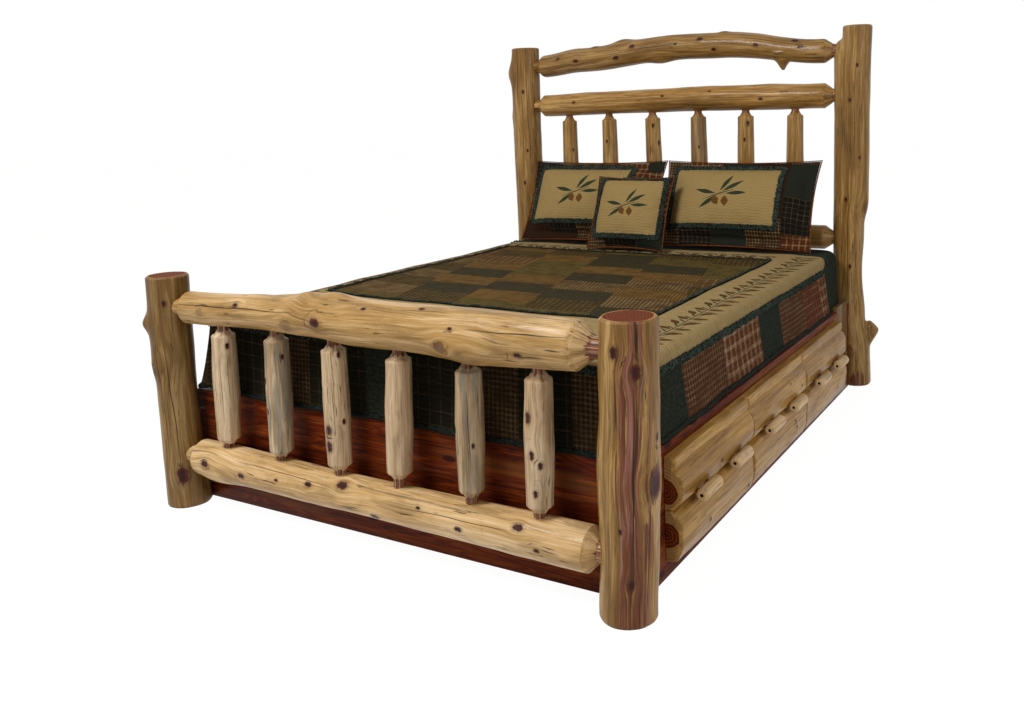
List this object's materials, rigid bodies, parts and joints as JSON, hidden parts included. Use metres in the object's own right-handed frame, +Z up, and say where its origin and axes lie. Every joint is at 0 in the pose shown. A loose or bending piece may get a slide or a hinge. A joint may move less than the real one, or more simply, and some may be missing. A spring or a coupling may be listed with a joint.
{
  "type": "log bed",
  "caption": "Peeled-log bed with post-and-spindle headboard and footboard on a boarded pedestal with slab-fronted drawers, dressed with mattress, plaid quilt and pillows.",
  "frame": {"origin": "on the floor at the middle of the bed's footprint", "axes": "+Z up, +Y towards the headboard, +X to the right-hand side seen from the foot"},
  "size_m": [1.8365, 2.2771, 1.538],
  "materials": {
    "post_log": "gloss varnish over peeled cedar",
    "rail_log": "gloss varnish over peeled cedar",
    "spindle_log": "gloss varnish over peeled cedar",
    "red_cedar_board": "satin varnish over aromatic red cedar",
    "pale_board": "satin varnish",
    "case_ply": "unfinished plywood",
    "runner_wood": "waxed hardwood",
    "frame_pine": "planed softwood",
    "bolt_steel": "zinc plated",
    "drawer_pine": "sanded softwood",
    "cedar_slab": "gloss varnish over half-round cedar slabs",
    "pull_log": "gloss varnish",
    "mattress_ticking": "woven ticking",
    "quilt_cotton": "quilted cotton patchwork",
    "sham_cotton": "quilted cotton",
    "throw_cotton": "quilted cotton"
  },
  "bodies": {
    "bed_frame": {"bed_bolts": "bolt_steel", "case_back_left": "case_ply", "case_back_right": "case_ply", "case_dividers_left": "case_ply", "case_dividers_right": "case_ply", "centre_support": "frame_pine", "deck_slats": "frame_pine", "drawer_runners_left": "runner_wood", "drawer_runners_right": "runner_wood", "foot_panel": "red_cedar_board", "footboard_bottom_rail": "rail_log", "footboard_post_left": "post_log", "footboard_post_right": "post_log", "footboard_spindle_1": "spindle_log", "footboard_spindle_2": "spindle_log", "footboard_spindle_3": "spindle_log", "footboard_spindle_4": "spindle_log", "footboard_spindle_5": "spindle_log", "footboard_spindle_6": "spindle_log", "footboard_top_rail": "rail_log", "head_cleats": "pale_board", "head_panel": "red_cedar_board", "headboard_crest_rail": "rail_log", "headboard_lower_rail": "rail_log", "headboard_post_left": "post_log", "headboard_post_right": "post_log", "headboard_spindle_1": "spindle_log", "headboard_spindle_2": "spindle_log", "headboard_spindle_3": "spindle_log", "headboard_spindle_4": "spindle_log", "headboard_spindle_5": "spindle_log", "headboard_spindle_6": "spindle_log", "headboard_upper_rail": "rail_log", "mattress": "mattress_ticking", "pillow_left": "sham_cotton", "pillow_right": "sham_cotton", "pillow_small": "throw_cotton", "quilt": "quilt_cotton", "side_frame_left": "red_cedar_board", "side_frame_right": "red_cedar_board"},
    "drawer_left_1": {"drawer_box_left_1": "drawer_pine", "drawer_front_left_1": "cedar_slab", "drawer_pulls_left_1": "pull_log"},
    "drawer_left_2": {"drawer_box_left_2": "drawer_pine", "drawer_front_left_2": "cedar_slab", "drawer_pulls_left_2": "pull_log"},
    "drawer_left_3": {"drawer_box_left_3": "drawer_pine", "drawer_front_left_3": "cedar_slab", "drawer_pulls_left_3": "pull_log"},
    "drawer_right_1": {"drawer_box_right_1": "drawer_pine", "drawer_front_right_1": "cedar_slab", "drawer_pulls_right_1": "pull_log"},
    "drawer_right_2": {"drawer_box_right_2": "drawer_pine", "drawer_front_right_2": "cedar_slab", "drawer_pulls_right_2": "pull_log"},
    "drawer_right_3": {"drawer_box_right_3": "drawer_pine", "drawer_front_right_3": "cedar_slab", "drawer_pulls_right_3": "pull_log"}
  },
  "joints": [
    {"name": "drawer_left_1_slide", "type": "slide", "parent": "bed_frame", "child": "drawer_left_1", "axis": [-1, 0, 0], "range_m": [0, 0.43]},
    {"name": "drawer_left_2_slide", "type": "slide", "parent": "bed_frame", "child": "drawer_left_2", "axis": [-1, 0, 0], "range_m": [0, 0.43]},
    {"name": "drawer_left_3_slide", "type": "slide", "parent": "bed_frame", "child": "drawer_left_3", "axis": [-1, 0, 0], "range_m": [0, 0.43]},
    {"name": "drawer_right_1_slide", "type": "slide", "parent": "bed_frame", "child": "drawer_right_1", "axis": [1, 0, 0], "range_m": [0, 0.43]},
    {"name": "drawer_right_2_slide", "type": "slide", "parent": "bed_frame", "child": "drawer_right_2", "axis": [1, 0, 0], "range_m": [0, 0.43]},
    {"name": "drawer_right_3_slide", "type": "slide", "parent": "bed_frame", "child": "drawer_right_3", "axis": [1, 0, 0], "range_m": [0, 0.43]}
  ]
}
